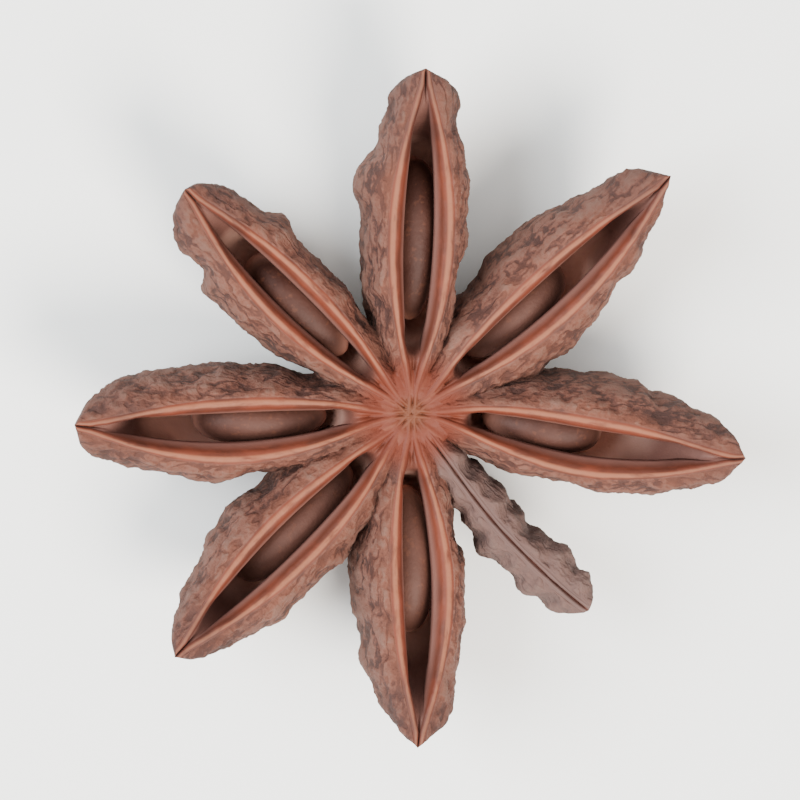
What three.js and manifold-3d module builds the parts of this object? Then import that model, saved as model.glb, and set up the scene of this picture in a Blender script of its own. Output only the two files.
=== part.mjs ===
// A whole dried star anise fruit, lying with its open side up.
//
// Eight boat-shaped carpels are fused round a short column.  Seven have split along
// their upper seam and hold one flat seed each; the eighth is shrunken and shut.
// Each carpel is lofted from hub to beak: every station is one closed section that runs
// up a flank, over the lip, down into the hollow and back out on the other side.
//
// Units are millimetres.  +Z is up, z = 0 is the surface that the keels rest on, +Y points
// along the "north" carpel, and the origin is the bottom centre of the fruit's box.

import * as THREE from 'three';
import { mergeVertices } from 'three/addons/utils/BufferGeometryUtils.js';
import Module from 'manifold-3d';

// ---- Driving dimensions of a full-grown carpel ----
const REACH = 17.2; // fruit's axis to the tip of the beak
const BREADTH = 5.7; // flank to flank
const DEPTH = 7.0; // lip down to keel
const GAPE = 3.1; // ridge to ridge of the two lips, where the split is widest
const RIM_HEIGHT = 6.3; // lips at the hub, above the resting surface
const BEAK_RISE = 1.4; // the beak's tip above the lips at the hub

// ---- Woody wall ----
const RIDGE = 0.3; // width of a lip's ridge
const RIDGE_CROWN = 0.08; // how far the ridge's inner edge stands above its outer one
const THROAT_SHARE = 0.62; // of the gape: the slit at the foot of the slopes inside the ridges
const THROAT_DEPTH = 0.95; // that foot, below the ridges
const WALL = 0.8; // flank, beside the hollow
const KEEL_WALL = 1.1; // under the hollow
const GROOVE = 0.35; // depth of the seam where there is no hollow below it
const SEAM = 0.2; // ridge to ridge where the split is shut
const WRINKLE = 0.26; // how far the bark's folds stand in or out
const KEEL_CUT = 0.16; // taken off a keel's lowest point, so that it rests on a flat

// ---- Hub ----
const HUB_OVERLAP = 0.6; // carpels start this far past the axis, so that they fuse
const HUB_HALF_WIDTH = 0.55; // of one carpel, at the axis
const HUB_DEPTH_SHARE = 0.55; // of one carpel's depth, at the axis
const COLUMN_RADIUS = 2.3;
const COLUMN_RISE = 0.1; // its top above the lips at the hub
const COLUMN_FALL = 0.18; // its shoulder below its top
const DIMPLE_RADIUS = 0.8; // the hollow in the middle of its top
const DIMPLE_DEPTH = 0.2;
const STALK_RADIUS = 0.95;
const STALK_BOTTOM = 1.4; // the broken stalk's end above the resting surface

// ---- Seed in a full-grown carpel ----
const SEED_LENGTH = 7.2;
const SEED_HEIGHT = 4.2;
const SEED_THICKNESS = 2.1;
const SEED_COVER = 1.15; // its top edge below the ridges
const SEED_NARROWING = 0.3; // its outer end is bigger than its inner one by this share
const SEED_BLUNTNESS = 1.5; // fills its edge out

// ---- How a carpel's form runs from the hub, at 0, to the beak's tip, at 1 ----
const SPLIT = { start: 0.08, end: 0.985, fullness: 1.3 };
const HOLLOW = { start: 0.18, full: 0.28, narrows: 0.75, end: 0.93 };
const LIFT = { start: 0.1, full: 0.36 }; // where the lips leave the hub's level for their own
const WIDTH_RISE = 0.8; // small values widen the carpel soon after the hub
const DEPTH_RISE = 0.9;
const DEPTH_FALL = 0.72; // small values keep it deep for longer towards the beak
const LIP_CURVE = 1.6; // how late the lips rise towards the beak
const LEDGE_RUN = 0.06; // length of the step in a flank
const BEAK_POWER = 60; // small values make the beak long and thin

// ---- Form of a carpel's section ----
const SHOULDER_SHARE = 0.42; // of the depth: where the flanks are widest, below the lips
const SHOULDER_CURVE = 1.25; // how square the flank is above that
// Down the split from its throat: shares of its half width and of its depth.
const GROOVE_SHAPE = [[1, 0.75], [0.6, 0.9], [0, 1]];
const HOLLOW_SHAPE = [[1, 0.37], [0.78, 0.82], [0, 1]];

// ---- Fineness of the mesh ----
const STATIONS = 26;
const FLANK_STEPS = 5;
const HUB_SIDES = 24;
const SEED_SIDES = 14;
const SEED_RINGS = 8;

// Each carpel's own shape.  angle is in degrees from +X, anticlockwise seen from above.
// reach, depth, rise, gape and breadth are shares of the full-grown sizes.  roll turns the split
// to the right, in degrees, and bend bows the carpel to its left.  left and right are its sides
// for someone looking out along it.  A small fall keeps that flank full for longer and makes the
// beak blunt.  A ledge is the share by which the flank steps in at ledgeAt.  seed has the share of
// the reach where its middle is, and its length as a share of the full-grown one.
const CARPELS = [
  {
    name: 'east', angle: -8, reach: 0.985, depth: 1.0, rise: 0.9, gape: 0.87, roll: 10, bend: 0.1,
    left: { breadth: 1.02, fall: 0.4, ledge: 0.26, ledgeAt: 0.72 },
    right: { breadth: 0.97, fall: 0.48, ledge: 0, ledgeAt: 0.5 },
    seed: { place: 0.42, size: 0.85 },
  },
  {
    name: 'northeast', angle: 43, reach: 1.025, depth: 0.97, rise: 1.1, gape: 0.82, roll: 3, bend: -0.25,
    left: { breadth: 0.97, fall: 0.55, ledge: 0.14, ledgeAt: 0.72 },
    right: { breadth: 1.1, fall: 0.8, ledge: 0.14, ledgeAt: 0.67 },
    seed: { place: 0.42, size: 0.9 },
  },
  {
    name: 'north', angle: 88.7, reach: 1.025, depth: 1.02, rise: 1.05, gape: 0.94, roll: 0, bend: -0.1,
    left: { breadth: 0.96, fall: 0.4, ledge: 0.26, ledgeAt: 0.73 },
    right: { breadth: 0.92, fall: 0.45, ledge: 0.1, ledgeAt: 0.8 },
    seed: { place: 0.49, size: 1.15 },
  },
  {
    name: 'northwest', angle: 135, reach: 0.96, depth: 0.96, rise: 0.85, gape: 0.78, roll: -1, bend: 0.15,
    left: { breadth: 0.98, fall: 0.32, ledge: 0.24, ledgeAt: 0.74 },
    right: { breadth: 0.87, fall: 0.42, ledge: 0.16, ledgeAt: 0.72 },
    seed: { place: 0.46, size: 0.95 },
  },
  {
    name: 'west', angle: 180, reach: 1.01, depth: 1.03, rise: 1.1, gape: 0.93, roll: -5, bend: 0.25,
    left: { breadth: 1.06, fall: 0.45, ledge: 0.14, ledgeAt: 0.68 },
    right: { breadth: 0.93, fall: 0.5, ledge: 0.12, ledgeAt: 0.79 },
    seed: { place: 0.43, size: 0.95 },
  },
  {
    name: 'southwest', angle: 224, reach: 0.995, depth: 0.98, rise: 0.95, gape: 0.86, roll: 2, bend: 0.2,
    left: { breadth: 1.04, fall: 0.5, ledge: 0.16, ledgeAt: 0.72 },
    right: { breadth: 0.98, fall: 0.65, ledge: 0.12, ledgeAt: 0.72 },
    seed: { place: 0.47, size: 1.1 },
  },
  {
    name: 'south', angle: 270, reach: 0.975, depth: 1.0, rise: 1.0, gape: 0.9, roll: -6, bend: 0,
    left: { breadth: 0.96, fall: 0.55, ledge: 0, ledgeAt: 0.5 },
    right: { breadth: 0.97, fall: 0.6, ledge: 0.12, ledgeAt: 0.7 },
    seed: { place: 0.46, size: 1.05 },
  },
  {
    name: 'southeast', angle: 311.5, reach: 0.79, depth: 0.6, rise: 0.35, gape: 0, roll: 8, bend: -0.3,
    left: { breadth: 0.5, fall: 0.22, ledge: 0.1, ledgeAt: 0.45 },
    right: { breadth: 0.6, fall: 0.2, ledge: 0.16, ledgeAt: 0.66 },
  },
];

// Bark folds along a carpel: wavelength in millimetres, share of the height, slant down the flank.
const FOLDS = [
  { wave: 6.3, share: 0.45, slant: 1.1 },
  { wave: 3.9, share: 0.32, slant: -1.9 },
  { wave: 2.6, share: 0.23, slant: 2.7 },
];
const GOLDEN = 0.618; // spreads the folds' phases from carpel to carpel

const { clamp, lerp, degToRad } = THREE.MathUtils;

function smooth(low, high, value) {
  const share = clamp((value - low) / (high - low), 0, 1);
  return share * share * (3 - 2 * share);
}

// Rises from 0 at the hub to 1 at its peak, and falls to 0 at the beak.
function hump(along, rise, fall) {
  const peak = rise / (rise + fall);
  return (along / peak) ** rise * ((1 - along) / (1 - peak)) ** fall;
}

// Folds of the bark at a place, from -1 to 1.  down is 0 at the lip and 1 at the keel.
function folds(carpel, distance, isLeft, down) {
  const phase = carpel.index * GOLDEN + (isLeft ? 0 : 0.37);
  return FOLDS.reduce((sum, fold, n) => {
    const turns = distance / fold.wave + phase * (n + 1);
    return sum + fold.share * Math.sin(2 * Math.PI * turns + fold.slant * down);
  }, 0);
}

// Half the carpel's width on one side of its middle.
function halfWidth(side, along) {
  const atHub = HUB_HALF_WIDTH * (1 - along) ** 4;
  const start = side.ledgeAt - LEDGE_RUN / 2;
  const step = 1 - side.ledge * smooth(start, start + LEDGE_RUN, along);
  const beak = 1 - along ** BEAK_POWER;
  return atHub + (BREADTH / 2) * side.breadth * step * beak * hump(along, WIDTH_RISE, side.fall);
}

// The sizes of a carpel's section, with along from 0 at the hub to 1 at the beak's tip.
function stationSizes(carpel, along) {
  const bulk = HUB_DEPTH_SHARE * (1 - along) ** 3 + hump(along, DEPTH_RISE, DEPTH_FALL);
  const depth = DEPTH * carpel.depth * bulk;
  const split = clamp((along - SPLIT.start) / (SPLIT.end - SPLIT.start), 0, 1);
  const opened = smooth(HOLLOW.start, HOLLOW.full, along);
  const lift = carpel.lift * smooth(LIFT.start, LIFT.full, along);
  const hollow = carpel.seed ? opened * (1 - smooth(HOLLOW.narrows, HOLLOW.end, along)) : 0;
  return {
    depth,
    hollow,
    halfGape: (SEAM + GAPE * carpel.gape * (4 * split * (1 - split)) ** SPLIT.fullness) / 2,
    cavity: lerp(Math.min(GROOVE, depth * 0.3), Math.max(depth - KEEL_WALL, 0), hollow),
    lipHeight: RIM_HEIGHT + lift + BEAK_RISE * carpel.rise * along ** LIP_CURVE,
  };
}

// One half of a section, from the keel up the flank, over the ridge, down the slope to the throat
// and round the hollow to its floor.  Points are [across, height], with across positive.
function halfSection(carpel, sizes, along, distance, isLeft) {
  const { depth, hollow, halfGape, cavity, lipHeight } = sizes;
  const width = halfWidth(isLeft ? carpel.left : carpel.right, along);
  const ridgeOuter = Math.min(halfGape + RIDGE / 2, 0.8 * width);
  const ridgeInner = Math.min(Math.max(halfGape - RIDGE / 2, 0.05), 0.7 * ridgeOuter);
  const hollowWidth = lerp(0.35 * ridgeInner, Math.max(width - WALL, 0.5 * ridgeInner), hollow);
  const shoulder = SHOULDER_SHARE * depth;
  const widest = lipHeight - shoulder;
  const points = [];
  for (let n = 0; n <= FLANK_STEPS; n++) {
    const turn = Math.PI * (1 - n / FLANK_STEPS);
    const out = Math.sin(turn);
    const fold = WRINKLE * folds(carpel, distance, isLeft, turn / Math.PI) * out * Math.min(1, width);
    if (turn > Math.PI / 2) {
      points.push([width * out + fold, widest + (depth - shoulder) * Math.cos(turn)]);
    } else {
      const across = lerp(ridgeOuter, width, out ** SHOULDER_CURVE);
      points.push([across + fold, widest + shoulder * Math.cos(turn) ** SHOULDER_CURVE]);
    }
  }
  points.push([ridgeInner, lipHeight + RIDGE_CROWN * Math.min(1, width)]);
  points.push([THROAT_SHARE * ridgeInner, lipHeight - lerp(0.5 * cavity, THROAT_DEPTH, hollow)]);
  GROOVE_SHAPE.forEach(([share, level], n) => points.push([
    hollowWidth * lerp(share, HOLLOW_SHAPE[n][0], hollow),
    lipHeight - cavity * lerp(level, HOLLOW_SHAPE[n][1], hollow),
  ]));
  return points;
}

// The roll of a carpel's section, which grows from none at the hub, and its sideways bow.
const rollAt = (carpel, along) => degToRad(carpel.roll) * smooth(0.1, 0.6, along);
const bowAt = (carpel, along) => carpel.bend * 4 * along * (1 - along);

// The whole closed section at a station, as points in the carpel's own frame: x runs out along it.
function section(carpel, along) {
  const sizes = stationSizes(carpel, along);
  const distance = lerp(-HUB_OVERLAP, REACH * carpel.reach, along);
  const left = halfSection(carpel, sizes, along, distance, true);
  const right = halfSection(carpel, sizes, along, distance, false).reverse().slice(1, -1);
  const pivot = sizes.lipHeight - 0.5 * sizes.depth;
  const roll = rollAt(carpel, along);
  const place = ([across, height]) => new THREE.Vector3(
    distance,
    bowAt(carpel, along) + across * Math.cos(roll) - (height - pivot) * Math.sin(roll),
    pivot + across * Math.sin(roll) + (height - pivot) * Math.cos(roll),
  );
  return [...left.map(place), ...right.map(([across, height]) => place([-across, height]))];
}

// Triangles between rings of points, closed at the first ring by a fan and at the last by the tip.
function loft(rings, tail, tip) {
  const size = rings[0].length;
  const points = [...rings.flat(), tail, tip];
  const tailIndex = points.length - 2;
  const tipIndex = points.length - 1;
  const last = (rings.length - 1) * size;
  const index = [];
  for (let n = 0; n < size; n++) {
    const next = (n + 1) % size;
    index.push(tailIndex, next, n);
    index.push(tipIndex, last + n, last + next);
    for (let start = 0; start < last; start += size) {
      index.push(start + n, start + next, start + size + next);
      index.push(start + n, start + size + next, start + size + n);
    }
  }
  const geometry = new THREE.BufferGeometry().setFromPoints(points);
  geometry.setIndex(index);
  return geometry;
}

function carpelGeometry(carpel) {
  const rings = [];
  for (let n = 0; n < STATIONS; n++) {
    rings.push(section(carpel, 1 - (1 - n / STATIONS) ** 1.5));
  }
  const start = stationSizes(carpel, 0);
  const tail = new THREE.Vector3(-HUB_OVERLAP, 0, start.lipHeight - 0.5 * start.depth);
  const tip = new THREE.Vector3(REACH * carpel.reach, 0, stationSizes(carpel, 1).lipHeight);
  return loft(rings, tail, tip).rotateZ(degToRad(carpel.angle));
}

// The column that the carpels are fused to, from the broken stalk up to its dimpled top.
function hubGeometry() {
  const top = RIM_HEIGHT + COLUMN_RISE;
  const outline = [
    [0, STALK_BOTTOM + 0.15],
    [0.7 * STALK_RADIUS, STALK_BOTTOM],
    [STALK_RADIUS, STALK_BOTTOM + 0.25],
    [0.92 * STALK_RADIUS, STALK_BOTTOM + 0.9],
    [1.5 * STALK_RADIUS, RIM_HEIGHT - DEPTH * HUB_DEPTH_SHARE + 0.5],
    [0.95 * COLUMN_RADIUS, top - COLUMN_FALL - 1.2],
    [COLUMN_RADIUS, top - COLUMN_FALL - 0.3],
    [0.85 * COLUMN_RADIUS, top - COLUMN_FALL],
    [1.4 * DIMPLE_RADIUS, top],
    [DIMPLE_RADIUS, top - 0.4 * DIMPLE_DEPTH],
    [0.5 * DIMPLE_RADIUS, top - DIMPLE_DEPTH],
    [0, top - DIMPLE_DEPTH],
  ].map(([radius, height]) => new THREE.Vector2(radius, height));
  return new THREE.LatheGeometry(outline, HUB_SIDES).rotateX(Math.PI / 2);
}

const wasm = await Module();
wasm.setup();

function toSolid(geometry) {
  geometry.deleteAttribute('normal');
  geometry.deleteAttribute('uv');
  const merged = mergeVertices(geometry, 1e-4);
  return new wasm.Manifold(new wasm.Mesh({
    numProp: 3,
    vertProperties: new Float32Array(merged.attributes.position.array),
    triVerts: new Uint32Array(merged.index.array),
  }));
}

function toGeometry(solid) {
  const mesh = solid.getMesh();
  const geometry = new THREE.BufferGeometry();
  geometry.setAttribute('position', new THREE.BufferAttribute(mesh.vertProperties, 3));
  geometry.setIndex(new THREE.BufferAttribute(mesh.triVerts, 1));
  return geometry;
}

// All the carpels and the hub as one solid, with the keels cut flat where they rest.
function fruitGeometry(carpels) {
  const slab = new THREE.BoxGeometry(4 * REACH, 4 * REACH, DEPTH).translate(0, 0, -DEPTH / 2);
  const fused = carpels.map((carpel) => toSolid(carpelGeometry(carpel)))
    .reduce((whole, solid) => whole.add(solid), toSolid(hubGeometry()));
  return toGeometry(fused.subtract(toSolid(slab)));
}

// A flat seed standing on edge in its carpel's hollow, narrower towards the hub.
function seedGeometry(carpel) {
  const { place, size } = carpel.seed;
  const height = SEED_HEIGHT * carpel.depth;
  const geometry = new THREE.SphereGeometry(0.5, SEED_SIDES, SEED_RINGS);
  const position = geometry.attributes.position;
  for (let n = 0; n < position.count; n++) {
    const [x, y, z] = [position.getX(n), position.getY(n), position.getZ(n)];
    const narrowing = 1 + SEED_NARROWING * x;
    const bluntness = 1 + SEED_BLUNTNESS * (x * x + z * z);
    position.setXYZ(
      n,
      x * SEED_LENGTH * size,
      y * SEED_THICKNESS * narrowing * bluntness,
      z * height * narrowing,
    );
  }
  const sizes = stationSizes(carpel, place);
  return geometry
    .translate(0, 0, 0.5 * sizes.depth - SEED_COVER - 0.5 * height)
    .rotateX(rollAt(carpel, place))
    .translate(REACH * carpel.reach * place, bowAt(carpel, place), sizes.lipHeight - 0.5 * sizes.depth)
    .rotateZ(degToRad(carpel.angle));
}

// How far a carpel is raised to bring its keel's lowest point just under the resting surface,
// where the slab cuts it flat.  The shrunken carpel doesn't reach down that far.
function liftOf(carpel) {
  const keel = Array.from({ length: STATIONS }, (_, n) => {
    const sizes = stationSizes({ ...carpel, lift: 0 }, n / STATIONS);
    return sizes.lipHeight - sizes.depth;
  });
  return carpel.seed ? -KEEL_CUT - Math.min(...keel) : 0;
}

// ---- Materials ----
const bark = new THREE.MeshStandardMaterial({ color: 0x7d5040, roughness: 0.78, metalness: 0 });
const seedCoat = new THREE.MeshStandardMaterial({ color: 0x6b3f2c, roughness: 0.32, metalness: 0 });

function named(name, geometry, material) {
  const mesh = new THREE.Mesh(geometry, material);
  mesh.name = name;
  return mesh;
}

const carpels = CARPELS.map((carpel, index) => ({ ...carpel, index, lift: liftOf(carpel) }));
const fruit = fruitGeometry(carpels);
const box = new THREE.Box3().setFromBufferAttribute(fruit.attributes.position);
const middle = box.getCenter(new THREE.Vector3());

const starAnise = new THREE.Group();
starAnise.position.set(-middle.x, -middle.y, 0);
starAnise.add(named('pod', fruit, bark));
for (const carpel of carpels.filter((each) => each.seed)) {
  starAnise.add(named(`seed_${carpel.name}`, seedGeometry(carpel), seedCoat));
}

export default starAnise;
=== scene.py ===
"""A whole dried star anise fruit with its seeds, lying open side up on a pale surface.

Eight boat-shaped carpels are fused round a short column.  Seven have split along their upper
seam and hold one flat seed each; the eighth is shrunken and shut.  One node group shapes a
carpel from its own sizes, and a second one repeats it round the column and joins everything
into a single closed mesh.  Lengths are in metres.
"""

import math
from typing import NamedTuple

import bpy
from mathutils import Matrix, Vector


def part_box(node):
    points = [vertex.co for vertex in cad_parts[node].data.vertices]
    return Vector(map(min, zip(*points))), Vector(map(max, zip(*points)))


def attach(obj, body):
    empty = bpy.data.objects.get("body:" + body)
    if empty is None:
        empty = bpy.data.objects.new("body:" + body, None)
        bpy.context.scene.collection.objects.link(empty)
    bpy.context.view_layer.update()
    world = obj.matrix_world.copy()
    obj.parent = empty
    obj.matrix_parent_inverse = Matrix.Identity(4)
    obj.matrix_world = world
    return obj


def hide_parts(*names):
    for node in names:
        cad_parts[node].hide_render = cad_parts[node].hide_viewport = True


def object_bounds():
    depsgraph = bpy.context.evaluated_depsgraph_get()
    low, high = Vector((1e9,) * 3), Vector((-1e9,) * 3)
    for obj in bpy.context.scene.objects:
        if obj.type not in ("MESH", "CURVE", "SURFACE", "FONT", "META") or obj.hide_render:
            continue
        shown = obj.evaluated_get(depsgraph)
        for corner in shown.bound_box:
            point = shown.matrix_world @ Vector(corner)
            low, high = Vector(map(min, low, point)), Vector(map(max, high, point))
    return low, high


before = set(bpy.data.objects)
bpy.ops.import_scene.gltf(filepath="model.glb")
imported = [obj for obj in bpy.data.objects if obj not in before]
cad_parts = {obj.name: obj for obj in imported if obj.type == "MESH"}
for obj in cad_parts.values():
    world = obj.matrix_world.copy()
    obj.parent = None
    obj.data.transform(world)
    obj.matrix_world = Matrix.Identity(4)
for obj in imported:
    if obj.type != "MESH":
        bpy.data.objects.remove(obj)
CAD_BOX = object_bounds()

bl_info = {
    "name": "Star Anise Fruit",
    "version": (1, 0, 0),
    "blender": (4, 5, 0),
    "location": "3D View > Sidebar > Star Anise",
    "description": "Builds a dried star anise fruit with its seeds and a small stage",
    "category": "Object",
}

MM = 0.001
BODY = "root"

# Sizes of a full-grown carpel, of the bark's relief and of a seed, which the settings start from.
REACH = 17.2 * MM
BREADTH = 5.7 * MM
DEPTH = 7.0 * MM
GAPE = 3.1 * MM
RIM_HEIGHT = 6.3 * MM
BEAK_RISE = 1.4 * MM
WALL = 0.8 * MM
KEEL_WALL = 1.1 * MM
FOLD_HEIGHT = 0.26 * MM
WRINKLE_HEIGHT = 0.24 * MM
STATIONS = 124
GIRTH_STEPS = 101
SEED_LENGTH = 7.2 * MM
SEED_HEIGHT = 4.4 * MM
SEED_THICKNESS = 2.35 * MM
SEED_NARROWING = 0.3
SEED_BLUNTNESS = 1.5

# Small fixed sizes of the wall and the hub.
HUB_OVERLAP = 0.6 * MM
HUB_HALF_WIDTH = 0.55 * MM
HUB_DEPTH_SHARE = 0.55
RIDGE = 0.3 * MM
RIDGE_CROWN = 0.08 * MM
THROAT_SHARE = 0.62
THROAT_DEPTH = 0.95 * MM
GROOVE = 0.35 * MM
SEAM = 0.2 * MM
SHOULDER_SHARE = 0.42
KEEL_CUT = 0.16 * MM
COLUMN_RADIUS = 2.3 * MM
COLUMN_RISE = 0.1 * MM
COLUMN_FALL = 0.18 * MM
DIMPLE_RADIUS = 0.8 * MM
DIMPLE_DEPTH = 0.2 * MM
STREAK_HEIGHT = 0.06 * MM
STALK_RADIUS = 0.95 * MM
STALK_BOTTOM = 1.4 * MM
COLUMN_SIDES = 96
LEAST_RIDGE = 0.05 * MM
MERGE_DISTANCE = 1e-8

# Where the split, the hollow, the roll and the lips' rise begin and end, as shares of a
# carpel's length.
SPLIT_START = 0.08
SPLIT_END = 0.985
HOLLOW_START = 0.18
HOLLOW_FULL = 0.28
HOLLOW_NARROWS = 0.75
HOLLOW_END = 0.93
ROLL_START = 0.1
ROLL_FULL = 0.6
LIFT_START = 0.1
LIFT_FULL = 0.36

# How a carpel's outlines swell and fade: powers of the share of its length or of its section,
# and the rise and fall of a hump.
HUB_WIDTH_FADE = 4
HUB_DEPTH_FADE = 3
FLANK_RISE = 0.8
KEEL_SWELL = (0.9, 0.72)
HOLLOW_SWELL = (0.5, 0.8)
LEDGE_SOFTNESS = 0.03
BEAK_POWER = 60
BEAK_LIFT = 1.6
GAPE_FULLNESS = 1.3
SECTION_FULLNESS = 1.25
SLOPE_ACROSS = 0.9
SLOPE_DOWN = 1.3
OVERHANG = 0.65

# Where one half of the loop round a carpel changes from flank to ridge to slope to hollow,
# as shares of the half loop, from the keel to the hollow's floor.
FLANK_END = 0.64
RIDGE_END = 0.72
SLOPE_END = 0.82


class Side(NamedTuple):
    """One flank of a carpel."""

    breadth: float
    fall: float
    ledge: float = 0.0
    ledge_place: float = 0.5


class Seed(NamedTuple):
    """Where a seed's middle lies, as a share of the carpel's reach, its size, and how much paler its
    crest is painted to make up for less light in its slit.
    """

    place: float
    size: float
    paleness: float


class Carpel(NamedTuple):
    """One carpel's own shape, as shares of the full-grown sizes.  Angles are in degrees."""

    name: str
    angle: float
    reach: float
    depth: float
    rise: float
    gape: float
    roll: float
    bend: float
    left: Side
    right: Side
    seed: Seed | None


# The last number of each seed is how much paler its crest is painted, to even out the light in the
# slits.
CARPELS = (
    Carpel("east", -8, 0.985, 1.0, 0.9, 0.87, 10, 0.1,
           Side(1.02, 0.4, 0.26, 0.72), Side(0.97, 0.48), Seed(0.42, 0.85, 0.1)),
    Carpel("northeast", 43, 1.025, 0.97, 1.1, 0.82, 3, -0.25,
           Side(0.97, 0.55, 0.14, 0.72), Side(1.1, 0.8, 0.14, 0.67), Seed(0.42, 0.9, 0.7)),
    Carpel("north", 88.7, 1.025, 1.02, 1.05, 0.94, 0, -0.1,
           Side(0.96, 0.4, 0.26, 0.73), Side(0.92, 0.45, 0.1, 0.8), Seed(0.49, 1.15, 0.0)),
    Carpel("northwest", 135, 0.96, 0.96, 0.85, 0.78, -1, 0.15,
           Side(0.98, 0.32, 0.24, 0.74), Side(0.87, 0.42, 0.16, 0.72), Seed(0.46, 0.95, 0.0)),
    Carpel("west", 180, 1.01, 1.03, 1.1, 0.93, -5, 0.25,
           Side(1.06, 0.45, 0.14, 0.68), Side(0.93, 0.5, 0.12, 0.79), Seed(0.43, 0.95, 0.3)),
    Carpel("southwest", 224, 0.995, 0.98, 0.95, 0.86, 2, 0.2,
           Side(1.04, 0.5, 0.16, 0.72), Side(0.98, 0.65, 0.12, 0.72), Seed(0.47, 1.1, 0.6)),
    Carpel("south", 270, 0.975, 1.0, 1.0, 0.9, -6, 0,
           Side(0.96, 0.55), Side(0.97, 0.6, 0.12, 0.7), Seed(0.46, 1.05, 0.6)),
    Carpel("southeast", 311.5, 0.79, 0.6, 0.35, 0, 8, -0.3,
           Side(0.5, 0.22, 0.1, 0.45), Side(0.6, 0.2, 0.16, 0.66), None),
)

# Bark folds along a carpel: wavelength, share of the height, slant down the flank.  The phase
# makes the folds of each carpel, and of its two flanks, fall in different places.
FOLDS = ((6.3 * MM, 0.45, 1.1), (3.9 * MM, 0.32, -1.9), (2.6 * MM, 0.23, 2.7))
FOLD_PHASE = 0.618
FLANK_PHASE = 0.37

# The size of each pattern in the bark, and the step that gives each carpel its own stretch of it.
WRINKLE_SIZE = 2.0 * MM
LUMP_SIZE = 1.2 * MM
CRUST_SIZE = 0.8 * MM
NICK_SIZE = 0.7 * MM
CROSS_WRINKLE = 1.5 * MM
PATCH_SIZE = 2.4 * MM
CRACK_SIZE = 0.9 * MM
STREAK_SIZE = 0.45 * MM
SPECK_SIZE = 0.45 * MM
GRAIN_SIZE = 0.22 * MM
PATTERN_STEP = 50 * MM

# How fast a seed's dark crest drops towards its ends, per metre.
CREST_BOW = 60.0

# The stage.
FLOOR_HALF = 0.6
KEY_PLACE = (0.16, -0.28, 0.42)
KEY_SIZE = 0.3
FILL_PLACE = (-0.34, 0.06, 0.32)
FILL_SIZE = 0.35
ROOM_COLOUR = (1.0, 0.99, 0.97, 1.0)
ROOM_STRENGTH = 1.35


# ---- Fields: arithmetic that becomes nodes ----


class Field:
    """A number that varies over the geometry or surface that one node tree works on."""

    def __init__(self, tree, socket):
        self.tree = tree
        self.socket = socket

    def __add__(self, other):
        return calculate("ADD", self, other)

    def __radd__(self, other):
        return calculate("ADD", other, self)

    def __sub__(self, other):
        return calculate("SUBTRACT", self, other)

    def __rsub__(self, other):
        return calculate("SUBTRACT", other, self)

    def __mul__(self, other):
        return calculate("MULTIPLY", self, other)

    def __rmul__(self, other):
        return calculate("MULTIPLY", other, self)

    def __truediv__(self, other):
        return calculate("DIVIDE", self, other)

    def __rtruediv__(self, other):
        return calculate("DIVIDE", other, self)

    def __pow__(self, other):
        return calculate("POWER", self, other)


def feed(tree, target, value):
    """Link a field to an input, or set the input to a plain value."""
    if isinstance(value, Field):
        tree.links.new(value.socket, target)
    else:
        target.default_value = value


def add_node(kind, values, sockets=None, **settings):
    """Add a node, give its settings and inputs, and return its first output as a field.

    sockets are the numbers of the inputs, where they aren't simply the first ones.
    """
    tree = next(value.tree for value in values if isinstance(value, Field))
    node = tree.nodes.new(f"ShaderNode{kind}")
    for name, setting in settings.items():
        setattr(node, name, setting)
    for place, value in zip(sockets or range(len(values)), values):
        feed(tree, node.inputs[place], value)
    return Field(tree, node.outputs[0])


def calculate(operation, *values):
    return add_node("Math", values, operation=operation)


def ramp(low, high, value):
    """0 below low, 1 above high, and a straight line between."""
    return add_node("MapRange", (value, low, high), interpolation_type="LINEAR")


def smooth(low, high, value):
    """0 below low, 1 above high, and a soft step between."""
    return add_node("MapRange", (value, low, high), interpolation_type="SMOOTHSTEP")


def mix(start, end, share):
    return add_node("Mix", (share, start, end), (0, 2, 3), clamp_factor=False)


def lesser(one, other):
    return calculate("MINIMUM", one, other)


def greater(one, other):
    return calculate("MAXIMUM", one, other)


def sine(angle):
    return calculate("SINE", angle)


def cosine(angle):
    return calculate("COSINE", angle)


def hump(along, rise, fall):
    """Rises from 0 at the hub to 1 at its peak, and falls to 0 at the beak."""
    peak = rise / (rise + fall)
    return (along / peak) ** rise * ((1 - along) / (1 - peak)) ** fall


def vector(x, y, z):
    return add_node("CombineXYZ", (x, y, z))


def split(place):
    """A vector's three parts."""
    node = place.tree.nodes.new("ShaderNodeSeparateXYZ")
    feed(place.tree, node.inputs[0], place)
    return tuple(Field(place.tree, output) for output in node.outputs)


def noise(place, size, detail=2.0, roughness=0.5):
    """Soft random bumps from about 0 to 1, with lumps of the given size."""
    tree = place.tree
    node = tree.nodes.new("ShaderNodeTexNoise")
    feed(tree, node.inputs["Vector"], place)
    node.inputs["Scale"].default_value = 1 / size
    node.inputs["Detail"].default_value = detail
    node.inputs["Roughness"].default_value = roughness
    return Field(tree, node.outputs["Fac"])


def crease(value):
    """Turns soft bumps into sharp-crested ridges, from 0 to 1."""
    return 1 - calculate("ABSOLUTE", value * 4 - 2)


# ---- Geometry node helpers ----


SOCKETS = {float: "NodeSocketFloat", int: "NodeSocketInt", type(None): "NodeSocketMaterial"}


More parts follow.
